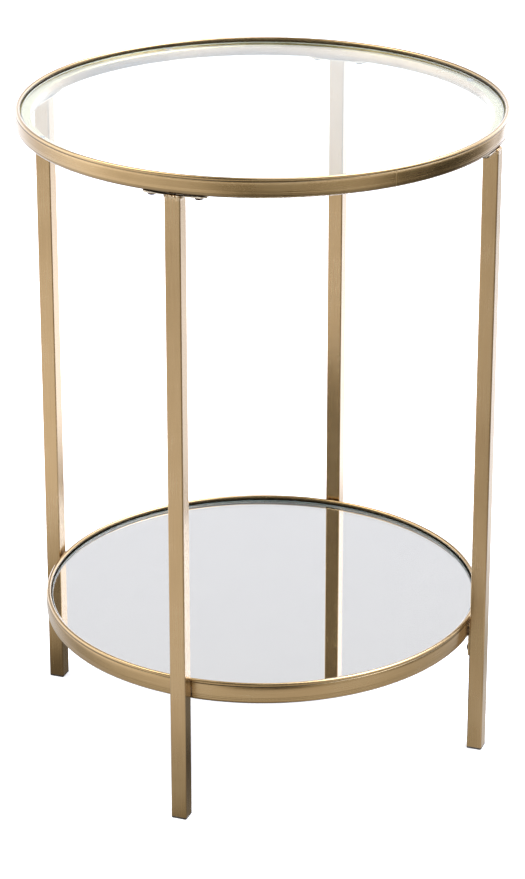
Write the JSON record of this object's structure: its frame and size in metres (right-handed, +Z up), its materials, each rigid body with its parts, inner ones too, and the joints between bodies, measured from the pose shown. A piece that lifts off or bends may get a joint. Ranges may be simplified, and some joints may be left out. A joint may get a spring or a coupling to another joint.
{
  "type": "side table",
  "caption": "Round tiered side table: clear glass top and mirror shelf lying in lipped satin-gold steel rings on straight square-tube legs.",
  "frame": {"origin": "on the floor under the middle of the table", "axes": "+Z up; -Y towards the front leg and +X towards the right leg"},
  "size_m": [0.46, 0.46, 0.635],
  "materials": {
    "gold_steel": "satin gold lacquer",
    "clear_glass": "polished, ground edge",
    "mirror_glass": "polished",
    "mirror_film": "silvering under grey safety film",
    "clear_bumper": "clear soft",
    "foot_plastic": "matt moulded",
    "bright_screw": "yellow passivated",
    "plain_steel": "bare"
  },
  "bodies": {
    "frame": {"top_ring": "gold_steel", "shelf_ring": "gold_steel", "glass_bumpers": "clear_bumper", "mirror_bumpers": "clear_bumper", "leg_front": "gold_steel", "leg_plate_front": "gold_steel", "foot_cap_front": "foot_plastic", "shelf_tab_front": "gold_steel", "leg_right": "gold_steel", "leg_plate_right": "gold_steel", "foot_cap_right": "foot_plastic", "shelf_tab_right": "gold_steel", "leg_back": "gold_steel", "leg_plate_back": "gold_steel", "foot_cap_back": "foot_plastic", "shelf_tab_back": "gold_steel", "leg_left": "gold_steel", "leg_plate_left": "gold_steel", "foot_cap_left": "foot_plastic", "shelf_tab_left": "gold_steel", "leg_welds": "gold_steel", "tab_welds": "gold_steel", "top_screws": "bright_screw", "top_nuts": "plain_steel", "shelf_bolts": "gold_steel", "shelf_nuts": "plain_steel"},
    "glass": {"glass_top": "clear_glass"},
    "mirror": {"shelf_mirror": "mirror_glass", "mirror_backing": "mirror_film"}
  },
  "joints": [
    {"name": "glass_lift", "type": "slide", "parent": "frame", "child": "glass", "axis": [0, 0, 1], "range_m": [0, 0.06]},
    {"name": "mirror_lift", "type": "slide", "parent": "frame", "child": "mirror", "axis": [0, 0, 1], "range_m": [0, 0.06]}
  ]
}
